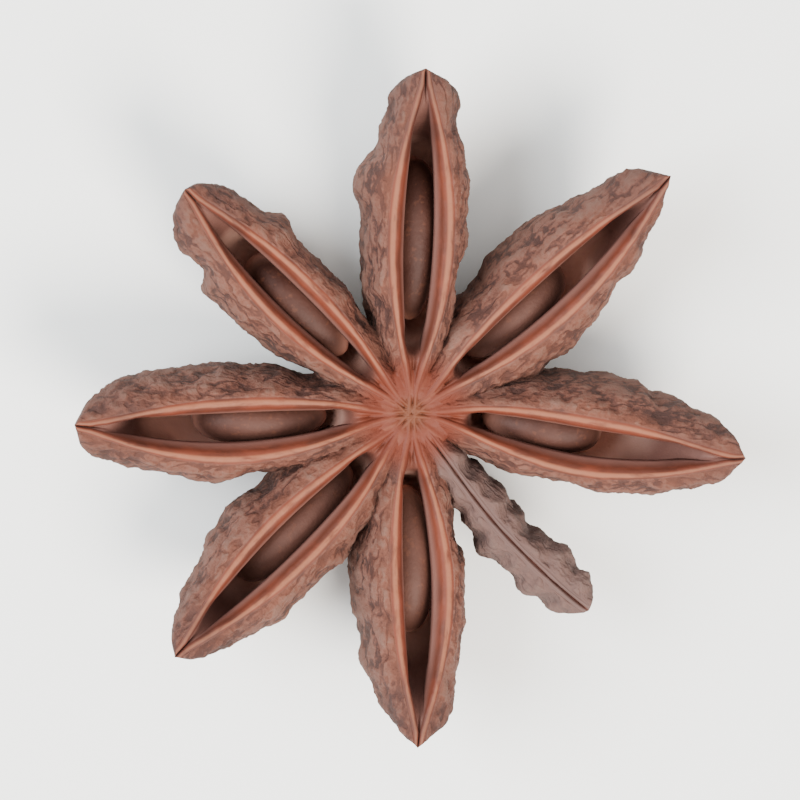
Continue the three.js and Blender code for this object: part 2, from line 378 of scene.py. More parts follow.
def new_tree(name, inputs):
    """An empty geometry node group that takes a geometry and the named inputs.

    Each input's default tells its kind: a number, a whole number, or None for a material.
    """
    tree = bpy.data.node_groups.new(name, "GeometryNodeTree")
    tree.interface.new_socket("Geometry", in_out="OUTPUT", socket_type="NodeSocketGeometry")
    tree.interface.new_socket("Geometry", in_out="INPUT", socket_type="NodeSocketGeometry")
    for label, default in inputs:
        kind = SOCKETS[type(default)]
        socket = tree.interface.new_socket(label, in_out="INPUT", socket_type=kind)
        if default is not None:
            socket.default_value = default
    source = tree.nodes.new("NodeGroupInput")
    fields = {label: Field(tree, source.outputs[label]) for label, _ in inputs}
    fields["Geometry"] = Field(tree, source.outputs["Geometry"])
    return tree, fields


def step(geometry, kind, **inputs):
    """Pass the geometry through one node, whose inputs are given by name."""
    tree = geometry.tree
    node = tree.nodes.new(f"GeometryNode{kind}")
    feed(tree, node.inputs[0], geometry)
    for label, value in inputs.items():
        feed(tree, node.inputs[label], value)
    return Field(tree, node.outputs[0])


def store(geometry, name, value, kind="FLOAT", domain="POINT"):
    """Keep a field on the geometry, under a name that materials can read."""
    tree = geometry.tree
    node = tree.nodes.new("GeometryNodeStoreNamedAttribute")
    node.data_type = kind
    node.domain = domain
    feed(tree, node.inputs["Geometry"], geometry)
    node.inputs["Name"].default_value = name
    feed(tree, node.inputs["Value"], value)
    return Field(tree, node.outputs[0])


def store_all(geometry, **values):
    for name, value in values.items():
        geometry = store(geometry, name, value)
    return geometry


def stored(tree, name, kind="FLOAT"):
    node = tree.nodes.new("GeometryNodeInputNamedAttribute")
    node.data_type = kind
    node.inputs["Name"].default_value = name
    return Field(tree, node.outputs[0])


def read(tree, kind):
    """A field that the geometry itself has, such as its position or normal."""
    return Field(tree, tree.nodes.new(f"GeometryNodeInput{kind}").outputs[0])


def finish_tree(tree, geometry, material=None):
    """Realize, give the material where there is one, and send the geometry out."""
    geometry = step(geometry, "RealizeInstances")
    if material is not None:
        geometry = step(geometry, "SetMaterial", Material=material)
    output = tree.nodes.new("NodeGroupOutput")
    feed(tree, output.inputs[0], geometry)


def grow(name, mesh, tree, values):
    """Run a node group on a mesh and return the result as an object with a plain mesh."""
    piece = bpy.data.objects.new(name, mesh)
    bpy.context.scene.collection.objects.link(piece)
    modifier = piece.modifiers.new(tree.name, "NODES")
    modifier.node_group = tree
    identifiers = {
        item.name: item.identifier
        for item in tree.interface.items_tree
        if item.item_type == "SOCKET" and item.in_out == "INPUT"
    }
    for label, value in values.items():
        modifier[identifiers[label]] = value
    evaluated = piece.evaluated_get(bpy.context.evaluated_depsgraph_get())
    grown = bpy.data.meshes.new_from_object(evaluated)
    piece.modifiers.remove(modifier)
    piece.data = grown
    grown.name = name
    if not grown.polygons:
        raise RuntimeError(f"{name} came out empty")
    return piece


# ---- The carpel's node group ----

# Inputs that the fruit's node group hands on to every carpel as they are.
SHARED_INPUTS = (
    ("Rim Height", RIM_HEIGHT),
    ("Wall", WALL),
    ("Keel Wall", KEEL_WALL),
    ("Fold Height", FOLD_HEIGHT),
    ("Wrinkle Height", WRINKLE_HEIGHT),
    ("Stations", STATIONS),
    ("Girth Steps", GIRTH_STEPS),
)
SIDE_INPUTS = (("Half Breadth", BREADTH / 2), ("Fall", 0.5), ("Ledge", 0.0), ("Ledge Place", 0.5))
CARPEL_INPUTS = (
    ("Angle", 0.0),
    ("Reach", REACH),
    ("Depth", DEPTH),
    ("Beak Rise", BEAK_RISE),
    ("Half Gape", GAPE / 2),
    ("Roll", 0.0),
    ("Bend", 0.0),
    ("Open", 1.0),
    ("Phase", 0.0),
    *((f"{side} {label}", default) for side in ("Left", "Right") for label, default in SIDE_INPUTS),
    *SHARED_INPUTS,
)


def half_width(given, along, side):
    """Half the carpel's width on one side of its middle."""
    at_hub = HUB_HALF_WIDTH * (1 - along) ** HUB_WIDTH_FADE
    place = given[f"{side} Ledge Place"]
    stepped = smooth(place - LEDGE_SOFTNESS, place + LEDGE_SOFTNESS, along)
    ledge = 1 - given[f"{side} Ledge"] * stepped
    beak = 1 - along ** BEAK_POWER
    breadth = given[f"{side} Half Breadth"] * ledge * beak
    return at_hub + breadth * hump(along, FLANK_RISE, given[f"{side} Fall"])


def bark_folds(given, distance, is_left, down):
    """Long waves of the bark at a place, from -1 to 1.  down is 0 at the lip and 1 at the keel."""
    phase = given["Phase"] * FOLD_PHASE + FLANK_PHASE - FLANK_PHASE * is_left
    total = 0.0
    for number, (wave, share, slant) in enumerate(FOLDS, start=1):
        turns = distance / wave + phase * number
        total = total + share * sine(2 * math.pi * turns + slant * down)
    return total


def section_place(given, along, around):
    """A point of the carpel's surface in its own frame: x runs out along it, y to its left.

    around goes once round the section, from the keel up the left flank, over its ridge, through
    the hollow, and back over the right ridge and down the right flank.  The other two results
    are the share of the half loop and the depth below the lips.
    """
    is_left = calculate("LESS_THAN", around, 0.5)
    side = is_left * 2 - 1
    girth = 1 - calculate("ABSOLUTE", around * 2 - 1)
    distance = mix(-HUB_OVERLAP, given["Reach"], along)
    rim = given["Rim Height"] + given["Beak Rise"] * along ** BEAK_LIFT
    at_hub = HUB_DEPTH_SHARE * (1 - along) ** HUB_DEPTH_FADE
    depth = given["Depth"] * (at_hub + hump(along, *KEEL_SWELL))
    width = mix(half_width(given, along, "Right"), half_width(given, along, "Left"), is_left)
    thin = lesser(width / MM, 1.0)

    opened = ramp(SPLIT_START, SPLIT_END, along)
    gape = SEAM / 2 + given["Half Gape"] * (4 * opened * (1 - opened)) ** GAPE_FULLNESS
    ridge_outer = lesser(gape + RIDGE / 2, width * 0.8)
    ridge_inner = lesser(greater(gape - RIDGE / 2, LEAST_RIDGE), ridge_outer * 0.7)
    throat = ridge_inner * THROAT_SHARE
    hollow = given["Open"] * smooth(HOLLOW_START, HOLLOW_FULL, along)
    hollow = hollow * (1 - smooth(HOLLOW_NARROWS, HOLLOW_END, along))
    cavity = mix(lesser(GROOVE, depth * 0.3), greater(depth - given["Keel Wall"], 0), hollow)
    hollow_width = mix(ridge_inner * 0.35, greater(width - given["Wall"], ridge_inner * 0.5), hollow)
    throat_depth = mix(cavity * 0.5, THROAT_DEPTH, hollow)
    shoulder = depth * SHOULDER_SHARE

    flank = ramp(0, FLANK_END, girth)
    turn = math.pi * (1 - flank)
    out = sine(turn)
    rising = cosine(turn)
    upper = calculate("GREATER_THAN", rising, 0)
    fold = given["Fold Height"] * bark_folds(given, distance, is_left, 1 - flank) * out * thin
    lower_across = width * out
    upper_across = mix(ridge_outer, width, out ** SECTION_FULLNESS)
    across = mix(lower_across, upper_across, upper) + fold
    above_shoulder = greater(rising, 0) ** SECTION_FULLNESS * shoulder
    below_shoulder = lesser(rising, 0) * (depth - shoulder)
    height = above_shoulder + below_shoulder - shoulder

    over_ridge = ramp(FLANK_END, RIDGE_END, girth)
    across = across - (ridge_outer - ridge_inner) * over_ridge
    height = height + RIDGE_CROWN * thin * sine(math.pi * over_ridge)

    down_slope = ramp(RIDGE_END, SLOPE_END, girth)
    across = across - (ridge_inner - throat) * down_slope ** SLOPE_ACROSS
    height = height - throat_depth * down_slope ** SLOPE_DOWN

    inside = ramp(SLOPE_END, 1, girth)
    swell = (hollow_width - throat * OVERHANG) * hump(inside, *HOLLOW_SWELL)
    across = across - throat * inside + swell
    height = height - (cavity - throat_depth) * (1 - cosine(math.pi * inside)) * 0.5

    below = 0 - height
    # The first ring is drawn together to close the carpel inside the hub.
    closed = ramp(0, 0.01, along)
    pivot = rim - depth * 0.5
    across = across * side * closed
    height = (height + depth * 0.5) * closed
    roll = given["Roll"] * smooth(ROLL_START, ROLL_FULL, along)
    bow = given["Bend"] * 4 * along * (1 - along)
    place = vector(
        distance,
        bow + across * cosine(roll) - height * sine(roll),
        pivot + across * sine(roll) + height * cosine(roll),
    )
    return place, girth, below


def turned(place, angle):
    """A place turned about the fruit's axis."""
    x, y, z = split(place)
    return vector(
        x * cosine(angle) - y * sine(angle),
        x * sine(angle) + y * cosine(angle),
        z,
    )


def bark_relief(given, local, girth, along):
    """How far the dry bark's wrinkles stand out at a place, from about -1 to 1."""
    x, y, z = split(local)
    shift = given["Phase"] * PATTERN_STEP
    streaked = vector(x * 0.6 + shift, y, z)
    plain = vector(x + shift, y + shift, z)
    wrinkles = crease(noise(streaked, WRINKLE_SIZE, 2.0)) - 0.6
    lumps = noise(plain, LUMP_SIZE, 3.0, 0.6) - 0.5
    crust = crease(noise(plain, CRUST_SIZE, 1.0)) - 0.6
    relief = wrinkles * 0.9 + lumps * 2.2 + crust * 0.6
    crossways = sine((x + lumps * MM) * (2 * math.pi / CROSS_WRINKLE))
    relief = relief + (1 - given["Open"]) * crossways * 0.45
    on_bark = (1 - smooth(FLANK_END - 0.07, FLANK_END - 0.01, girth)) * smooth(0.12, 0.3, along)
    on_ridge = smooth(FLANK_END - 0.04, FLANK_END, girth) * (1 - smooth(RIDGE_END, SLOPE_END, girth))
    nick = noise(plain, NICK_SIZE, 1.0) - 0.5
    return (on_bark * relief + on_ridge * nick * 0.5) * ramp(0, 0.08, 1 - along)


# What the materials read of a carpel and the column.  It is kept on face corners, so that it
# stays sharp where they meet.
SURFACE_VALUES = dict.fromkeys(("along", "girth", "below", "relief", "carpel", "shrivelled"), "FLOAT")
SURFACE_VALUES["local"] = "FLOAT_VECTOR"


def on_corners(geometry):
    for name, kind in SURFACE_VALUES.items():
        geometry = store(geometry, name, stored(geometry.tree, name, kind), kind, "CORNER")
    return geometry


def carpel_tree():
    """A node group that shapes one carpel and puts it in its place round the axis."""
    tree, given = new_tree("split carpel", CARPEL_INPUTS)
    grid = tree.nodes.new("GeometryNodeMeshGrid")
    grid.inputs["Size X"].default_value = 1.0
    grid.inputs["Size Y"].default_value = 1.0
    feed(tree, grid.inputs["Vertices X"], given["Stations"])
    feed(tree, grid.inputs["Vertices Y"], given["Girth Steps"])
    x, y, _ = split(read(tree, "Position"))
    along = 1 - (0.5 - x) ** 1.5
    place, girth, below = section_place(given, along, 0.5 - y)

    geometry = Field(tree, grid.outputs["Mesh"])
    geometry = store_all(geometry, along=along, girth=girth, below=below, carpel=given["Phase"])
    geometry = step(geometry, "SetPosition", Position=place)
    geometry = step(geometry, "MergeByDistance", Distance=MERGE_DISTANCE)
    geometry = store(geometry, "local", read(tree, "Position"), "FLOAT_VECTOR")

    along = stored(tree, "along")
    girth = stored(tree, "girth")
    local = stored(tree, "local", "FLOAT_VECTOR")
    relief = bark_relief(given, local, girth, along)
    geometry = store_all(geometry, relief=relief, shrivelled=1 - given["Open"])
    height = given["Wrinkle Height"] * stored(tree, "relief")
    normal_x, normal_y, normal_z = split(read(tree, "Normal"))
    lift = vector(normal_x * height, normal_y * height, normal_z * height)
    geometry = step(geometry, "SetPosition", Offset=lift)

    # Away from the hub, an open carpel is raised until its keel's lowest point lies just under
    # the floor.
    lowest = tree.nodes.new("GeometryNodeAttributeStatistic")
    feed(tree, lowest.inputs["Geometry"], geometry)
    feed(tree, lowest.inputs["Attribute"], split(read(tree, "Position"))[2])
    lift = (0 - Field(tree, lowest.outputs["Min"]) - KEEL_CUT) * given["Open"]
    lift = lift * smooth(LIFT_START, LIFT_FULL, stored(tree, "along"))
    geometry = step(geometry, "SetPosition", Offset=vector(0.0, 0.0, lift))
    geometry = step(geometry, "SetPosition", Position=turned(read(tree, "Position"), given["Angle"]))
    finish_tree(tree, on_corners(geometry))
    return tree


# ---- The fruit's node group ----

FRUIT_INPUTS = (
    ("Reach", REACH),
    ("Breadth", BREADTH),
    ("Depth", DEPTH),
    ("Gape", GAPE),
    ("Beak Rise", BEAK_RISE),
    ("Axis X", 0.0),
    ("Axis Y", 0.0),
    ("Material", None),
    *SHARED_INPUTS,
)


def add_carpel(tree, given, group, carpel, phase):
    """Place the carpel group in the fruit's tree with one carpel's own values."""
    node = tree.nodes.new("GeometryNodeGroup")
    node.node_tree = group
    node.label = carpel.name
    half_breadth = given["Breadth"] * 0.5
    values = {
        "Angle": math.radians(carpel.angle),
        "Reach": given["Reach"] * carpel.reach,
        "Depth": given["Depth"] * carpel.depth,
        "Beak Rise": given["Beak Rise"] * carpel.rise,
        "Half Gape": given["Gape"] * (0.5 * carpel.gape),
        "Roll": math.radians(carpel.roll),
        "Bend": carpel.bend * MM,
        "Open": float(carpel.seed is not None),
        "Phase": float(phase),
    }
    for label, _ in SHARED_INPUTS:
        values[label] = given[label]
    for label, side in (("Left", carpel.left), ("Right", carpel.right)):
        values[f"{label} Half Breadth"] = half_breadth * side.breadth
        values[f"{label} Fall"] = side.fall
        values[f"{label} Ledge"] = side.ledge
        values[f"{label} Ledge Place"] = side.ledge_place
    for label, value in values.items():
        feed(tree, node.inputs[label], value)
    return Field(tree, node.outputs[0])


def distance_from_axis(place):
    x, y, _ = split(place)
    return calculate("SQRT", x * x + y * y)


def radial_streaks(place):
    """Fine lines that radiate from the axis, from about -1 to 1."""
    x, y, _ = split(place)
    away = distance_from_axis(place) + 0.05 * MM
    return (noise(vector(x / away, y / away, 0.0), 0.2, 1.0) - 0.5) * 4


def finished_column(tree, column, top):
    """Give the column fine radiating lines on its top, and the values that materials read."""
    place = read(tree, "Position")
    away = distance_from_axis(place)
    on_top = smooth(top - 0.6 * MM, top - 0.2 * MM, split(place)[2])
    streaks = radial_streaks(place) * on_top * smooth(0.3 * MM, 1.2 * MM, away)
    column = store(column, "local", place, "FLOAT_VECTOR")
    on_slope = (RIDGE_END + SLOPE_END) / 2
    column = store_all(column, relief=streaks, girth=on_slope, along=0.0, below=0.0, carpel=-1.0,
                       shrivelled=0.0)
    lift = vector(0.0, 0.0, stored(tree, "relief") * STREAK_HEIGHT)
    column = step(column, "SetPosition", Offset=lift)
    return on_corners(column)


def fruit_tree():
    """A node group that takes the column and joins all the carpels to it."""
    tree, given = new_tree("star anise fruit", FRUIT_INPUTS)
    group = carpel_tree()
    union = tree.nodes.new("GeometryNodeMeshBoolean")
    union.operation = "UNION"
    union.solver = "MANIFOLD"
    meshes = union.inputs["Mesh 2"]
    column = finished_column(tree, given["Geometry"], given["Rim Height"] + COLUMN_RISE)
    tree.links.new(column.socket, meshes)
    for phase, carpel in enumerate(CARPELS):
        carpel_mesh = add_carpel(tree, given, group, carpel, phase)
        tree.links.new(carpel_mesh.socket, meshes)
    geometry = Field(tree, union.outputs["Mesh"])
    geometry = store(geometry, "radius", distance_from_axis(read(tree, "Position")))
    x, y, z = split(read(tree, "Position"))
    geometry = store(geometry, "height", z)
    placed = vector(x + given["Axis X"], y + given["Axis Y"], greater(z, 0))
    geometry = step(geometry, "SetPosition", Position=placed)
    finish_tree(tree, geometry, given["Material"])
    return tree


# ---- The seed's node group ----

SEED_INPUTS = (
    ("Length", SEED_LENGTH),
    ("Height", SEED_HEIGHT),
    ("Thickness", SEED_THICKNESS),
    ("Narrowing", SEED_NARROWING),
    ("Bluntness", SEED_BLUNTNESS),
    ("Place X", 0.0),
    ("Place Y", 0.0),
    ("Place Z", 0.0),
    ("Roll", 0.0),
    ("Angle", 0.0),
    ("Phase", 0.0),
    # How much paler the crest is painted, to even out the light in the slits.
    ("Paleness", 0.0),
    ("Material", None),
)


def seed_tree():
    """A node group that shapes one flat seed, on edge, with its narrow end towards the hub.

    The middle of its box goes to the given place.
    """
    tree, given = new_tree("flat seed", SEED_INPUTS)
    ball = tree.nodes.new("GeometryNodeMeshIcoSphere")
    ball.inputs["Radius"].default_value = 0.5
    ball.inputs["Subdivisions"].default_value = 6
    x, y, z = split(read(tree, "Position"))
    narrowing = 1 + given["Narrowing"] * x
    bluntness = 1 + given["Bluntness"] * (x * x + z * z)
    geometry = Field(tree, ball.outputs["Mesh"])
    hilum = smooth(0.43, 0.49, 0 - x)
    geometry = store_all(geometry, hilum=hilum, carpel=given["Phase"], paleness=given["Paleness"])
    across = y * given["Thickness"] * narrowing * bluntness
    up = z * given["Height"] * narrowing
    roll = given["Roll"]
    shaped = vector(
        x * given["Length"],
        across * cosine(roll) - up * sine(roll),
        across * sine(roll) + up * cosine(roll),
    )
    geometry = step(geometry, "SetPosition", Position=shaped)
    geometry = store(geometry, "local", read(tree, "Position"), "FLOAT_VECTOR")
    geometry = step(geometry, "SetPosition", Position=turned(read(tree, "Position"), given["Angle"]))
    box = tree.nodes.new("GeometryNodeBoundBox")
    feed(tree, box.inputs[0], geometry)
    lows = split(Field(tree, box.outputs["Min"]))
    highs = split(Field(tree, box.outputs["Max"]))
    goals = (given["Place X"], given["Place Y"], given["Place Z"])
    shift = vector(*(goal - (low + high) * 0.5 for goal, low, high in zip(goals, lows, highs)))
    geometry = step(geometry, "SetPosition", Offset=shift)
    geometry = step(geometry, "SetShadeSmooth")
    finish_tree(tree, geometry, given["Material"])
    return tree


# ---- The column ----


def lathe(name, profile, sides):
    """A closed solid of revolution.  The profile runs up from the axis and back to it."""
    points = [(0.0, 0.0, profile[0][1])]
    for radius, height in profile[1:-1]:
        for number in range(sides):
            angle = 2 * math.pi * number / sides
            points.append((radius * math.cos(angle), radius * math.sin(angle), height))
    points.append((0.0, 0.0, profile[-1][1]))
    rings = len(profile) - 2
    top = len(points) - 1
    faces = []
    for number in range(sides):
        after = (number + 1) % sides
        faces.append((0, 1 + after, 1 + number))
        faces.append((top, top - sides + number, top - sides + after))
        for ring in range(rings - 1):
            low = 1 + ring * sides
            high = low + sides
            faces.append((low + number, low + after, high + after, high + number))
    mesh = bpy.data.meshes.new(name)
    mesh.from_pydata(points, [], faces)
    return mesh


def column_mesh(sizes):
    """The column that the carpels are fused to, from the broken stalk up to its dimpled top."""
    top = sizes.rim_height + COLUMN_RISE
    profile = (
        (0.0, STALK_BOTTOM + 0.15 * MM),
        (0.7 * STALK_RADIUS, STALK_BOTTOM),
        (STALK_RADIUS, STALK_BOTTOM + 0.25 * MM),
        (0.92 * STALK_RADIUS, STALK_BOTTOM + 0.9 * MM),
        (1.5 * STALK_RADIUS, sizes.rim_height - sizes.depth * HUB_DEPTH_SHARE + 0.5 * MM),
        (0.95 * COLUMN_RADIUS, top - COLUMN_FALL - 1.2 * MM),
        (COLUMN_RADIUS, top - COLUMN_FALL - 0.3 * MM),
        (0.95 * COLUMN_RADIUS, top - COLUMN_FALL - 0.08 * MM),
        (0.85 * COLUMN_RADIUS, top - COLUMN_FALL),
        (0.68 * COLUMN_RADIUS, top - 0.4 * COLUMN_FALL),
        (0.55 * COLUMN_RADIUS, top - 0.1 * COLUMN_FALL),
        (1.3 * DIMPLE_RADIUS, top),
        (DIMPLE_RADIUS, top - 0.4 * DIMPLE_DEPTH),
        (0.75 * DIMPLE_RADIUS, top - 0.8 * DIMPLE_DEPTH),
        (0.5 * DIMPLE_RADIUS, top - DIMPLE_DEPTH),
        (0.25 * DIMPLE_RADIUS, top - 1.05 * DIMPLE_DEPTH),
        (0.0, top - DIMPLE_DEPTH),
    )
    return lathe("column", profile, COLUMN_SIDES)


def fruit_axis(sizes):
    """Where the fruit's axis stands, worked out from the seeds that lie along X and along Y."""
    places = []
    for part, name in enumerate(("west", "south")):
        low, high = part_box(f"seed_{name}")
        carpel = next(each for each in CARPELS if each.name == name)
        out = sizes.reach * carpel.reach * carpel.seed.place
        places.append((low[part] + high[part]) / 2 + out)
    return places


# ---- Materials ----


def new_material(name):
    material = bpy.data.materials.new(name)
    material.use_nodes = True
    tree = material.node_tree
    shader = tree.nodes["Principled BSDF"]
    return material, tree, shader


def attribute(tree, name, output="Fac"):
    """A value that the mesh carries under this name."""
    node = tree.nodes.new("ShaderNodeAttribute")
    node.attribute_name = name
    return Field(tree, node.outputs[output])


def attributes(tree, *names):
    return (attribute(tree, name) for name in names)


def pattern_place(tree):
    """The place in the carpel's own frame, and the shift that sets its patterns apart."""
    x, y, z = split(attribute(tree, "local", "Vector"))
    return x, y, z, attribute(tree, "carpel") * PATTERN_STEP


def blend_colours(tree, start, end, share):
    """Go from one colour to the other.  Each is a colour field or three plain numbers."""
    node = tree.nodes.new("ShaderNodeMix")
    node.data_type = "RGBA"
    feed(tree, node.inputs[0], share)
    for place, tint in ((6, start), (7, end)):
        feed(tree, node.inputs[place], tint if isinstance(tint, Field) else (*tint, 1.0))
    return Field(tree, node.outputs[2])


def bump(tree, height, distance, strength):
    node = tree.nodes.new("ShaderNodeBump")
    node.inputs["Strength"].default_value = strength
    node.inputs["Distance"].default_value = distance
    feed(tree, node.inputs["Height"], height)
    return Field(tree, node.outputs["Normal"])


def mottle_group():
    """A shader group with the uneven colouring that dried plant parts share."""
    tree = bpy.data.node_groups.new("dry mottling", "ShaderNodeTree")
    place_input = tree.interface.new_socket("Place", in_out="INPUT", socket_type="NodeSocketVector")
    place_input.hide_value = True
    size_input = tree.interface.new_socket("Size", in_out="INPUT", socket_type="NodeSocketFloat")
    size_input.default_value = 1.0
    for label in ("Patches", "Specks", "Grain"):
        tree.interface.new_socket(label, in_out="OUTPUT", socket_type="NodeSocketFloat")
    source = tree.nodes.new("NodeGroupInput")
    place = Field(tree, source.outputs["Place"])
    size = Field(tree, source.outputs["Size"])
    x, y, z = split(place)
    scaled = vector(x / size, y / size, z / size)
    patches = smooth(0.38, 0.62, noise(scaled, PATCH_SIZE, 3.0, 0.55))
    specks = smooth(0.56, 0.7, noise(scaled, SPECK_SIZE, 2.0, 0.6))
    grain = noise(scaled, GRAIN_SIZE, 3.0, 0.6)
    output = tree.nodes.new("NodeGroupOutput")
    for target, value in zip(output.inputs, (patches, specks, grain)):
        feed(tree, target, value)
    return tree


def mottled(tree, group, place, size):
    node = tree.nodes.new("ShaderNodeGroup")
    node.node_tree = group
    feed(tree, node.inputs["Place"], place)
    node.inputs["Size"].default_value = size
    return tuple(Field(tree, output) for output in node.outputs)


def bark_colour(tree, colours, girth, standing, patches):
    """Dusty bark: painted shade in its creases and cracks, a paler bloom with a painted highlight on its
    crests, worn bare beside the lips, and darker low down from weathering and painted shade.
    """
    # Painted shade: darker where the bark sits low, in its creases and cracks, mixed with random grain
    # and streaks.
    bark = blend_colours(tree, colours.bark_shadow, colours.bark, smooth(-0.6, 0.2, standing))
    worn = smooth(FLANK_END - 0.2, FLANK_END - 0.04, girth) * (0.2 + patches * 0.5)
    bark = blend_colours(tree, bark, colours.rubbed, worn)
    # Greyish bloom, stronger on the crests, where it is also a painted highlight on the raised bark.
    bark = blend_colours(tree, bark, colours.dust_and_highlight, smooth(-0.2, 0.9, standing) * 0.4)
    # Darker low on the flanks: weathering, and painted shade under the curve of the flank.
    low = 1 - smooth(0.34, 0.52, girth)
    return blend_colours(tree, bark, colours.keel, low * 0.3)


def hollow_colour(tree, colours, along, below, patches):
    """Darker near the lips and at the inner end, where the inside keeps its own colour, and painted
    paler deep down to offset the shade there.

    Towards the tip, where the hollow opens out and more light gets in, the painted pale part begins
    deeper.
    """
    open_end = smooth(0.58, 0.72, along) * (2.6 * MM)
    # Painted light: the inside turns paler with depth below the lips, to offset the shade down there.
    shallow_share = 1 - smooth(0.9 * MM, 3.2 * MM, below - open_end) * (0.85 + patches * 0.15)
    shallow_share = greater(shallow_share, 0.5 - smooth(0.24, 0.36, along) * 0.5)
    return blend_colours(tree, colours.hollow, colours.hollow_shallow, shallow_share)


def hub_colour(tree, colours, relief, radius):
    """Middle of the star, with paler lines and a browner dimple."""
    hub = blend_colours(tree, colours.hub, colours.ridge, smooth(0.0, 1.0, relief) * 0.4)
    return blend_colours(tree, hub, colours.hub_centre, 1 - smooth(0.3 * MM, 1.2 * MM, radius))


def pericarp_material(colours, group):
    """Dried fruit wall: craggy dusty bark with painted shade in its creases, thin pale ridges, smooth
    slopes, and brown hollows painted paler deep down to offset their shade.
    """
    material, tree, shader = new_material("dried pericarp")
    girth, along, below, relief = attributes(tree, "girth", "along", "below", "relief")
    radius, height, shrivelled = attributes(tree, "radius", "height", "shrivelled")
    x, y, z, shift = pattern_place(tree)
    patches, _, grain = mottled(tree, group, vector(x + shift, y + shift, z), 1.0)
    streaks = noise(vector(x * 0.25 + shift, y, z), STREAK_SIZE, 3.0, 0.6)
    cracks = crease(noise(vector(x * 0.5 + shift, y, z), CRACK_SIZE, 2.0, 0.6))
    cracks = smooth(0.72, 0.95, cracks)

    # How high the bark stands, with grain, streaks and cracks: low places get painted shade, high ones a
    # paler bloom and a painted highlight.
    standing = relief + (grain - 0.5) * 2.0 + (streaks - 0.5) * 1.2 - cracks * 0.6
    bark = bark_colour(tree, colours, girth, standing, patches)
    bark = blend_colours(tree, bark, colours.withered, shrivelled * 0.75)
    streaked = smooth(0.3, 0.65, streaks * 0.7 + patches * 0.3)
    slope = blend_colours(tree, colours.lip_shadow, colours.lip, streaked)
    slope = blend_colours(tree, slope, colours.withered, shrivelled * 0.85)
    colour = blend_colours(tree, bark, slope, smooth(FLANK_END - 0.015, FLANK_END + 0.01, girth))
    # Inside the lips the hollow's colour, painted paler deep down to offset its shade.
    inside = smooth(RIDGE_END + 0.02, SLOPE_END - 0.01, girth) * smooth(0.16, 0.24, along)
    colour = blend_colours(tree, colour, hollow_colour(tree, colours, along, below, patches), inside)
    off_line = calculate("ABSOLUTE", girth - (FLANK_END + RIDGE_END) / 2)
    line = (1 - smooth(0.01, 0.032, off_line)) * smooth(0.25, 0.5, streaks) * (1 - shrivelled)
    colour = blend_colours(tree, colour, colours.ridge, line * 0.9)
    at_tip = smooth(0.7, 0.9, along) * (1 - shrivelled)
    colour = blend_colours(tree, colour, colours.bark_shadow, at_tip * (0.45 - patches * 0.2))
    near = 1 - smooth(1.9 * MM, 3.6 * MM, radius)
    near = near * (1 - smooth(SLOPE_END - 0.03, SLOPE_END + 0.03, girth))
    near = near * smooth(5.0 * MM, 5.9 * MM, height)
    colour = blend_colours(tree, colour, hub_colour(tree, colours, relief, radius), near * 0.9)
    feed(tree, shader.inputs["Base Color"], colour)

    on_bark = 1 - smooth(FLANK_END - 0.03, FLANK_END, girth)
    feed(tree, shader.inputs["Roughness"], mix(0.6, 0.85, on_bark) + (grain - 0.5) * 0.2)
    fine = streaks * mix(0.3, 0.8, on_bark) + grain * mix(0.25, 1.0, on_bark)
    fine = fine - cracks * on_bark * 0.5
    feed(tree, shader.inputs["Normal"], bump(tree, fine, 0.12 * MM, 0.8))
    shader.inputs["Specular IOR Level"].default_value = 0.22
    return material


def seed_material(colours, group):
    """Hard seed coat with a soft gloss, a dark crest, sides painted paler to offset their shade, and a
    faint scar where it was attached.
    """
    material, tree, shader = new_material("seed coat")
    hilum, paleness = attributes(tree, "hilum", "paleness")
    x, y, z, shift = pattern_place(tree)
    patches, specks, grain = mottled(tree, group, vector(x + shift, y, z), 0.8)
    # Painted light: below its crest the coat is painted paler, to offset the shade on its sides down in
    # the slit.
    crest = smooth(1.0 * MM, 1.75 * MM, z + x * x * CREST_BOW)
    # Painted light: each seed's crest is made paler by its own amount, to even out how much light falls
    # into the different slits.
    dark = crest * (0.95 + patches * 0.05 - paleness * 0.2)
    colour = blend_colours(tree, colours.seed, colours.seed_crest, dark)
    scar = greater(hilum * 0.3, specks * 0.15)
    colour = blend_colours(tree, colour, colours.ridge, scar)
    feed(tree, shader.inputs["Base Color"], colour)
    feed(tree, shader.inputs["Roughness"], mix(0.58, 0.7, hilum) + (grain - 0.5) * 0.1)
    feed(tree, shader.inputs["Normal"], bump(tree, grain, 0.04 * MM, 0.6))
    shader.inputs["Specular IOR Level"].default_value = 0.2
    return material


def floor_material(stage):
    """Plain matt pale surface."""
    material, tree, shader = new_material("pale floor")
    place = Field(tree, tree.nodes.new("ShaderNodeTexCoord").outputs["Object"])
    tone = noise(place, 60 * MM, 2.0)
    shade = [0.97 * part for part in stage.floor_colour]
    colour = blend_colours(tree, shade, stage.floor_colour, tone)
    feed(tree, shader.inputs["Base Color"], colour)
    shader.inputs["Roughness"].default_value = 0.7
    return material


# ---- Settings ----


def amount(name, description, default, **options):
    return bpy.props.FloatProperty(name=name, description=description, default=default, **options)


def length(name, description, default):
    return amount(name, description, default, min=0.0, unit="LENGTH", precision=5)


def colour(name, description, default):
    return bpy.props.FloatVectorProperty(
        name=name, description=description, default=default, size=3, min=0.0, max=1.0,
        subtype="COLOR",
    )


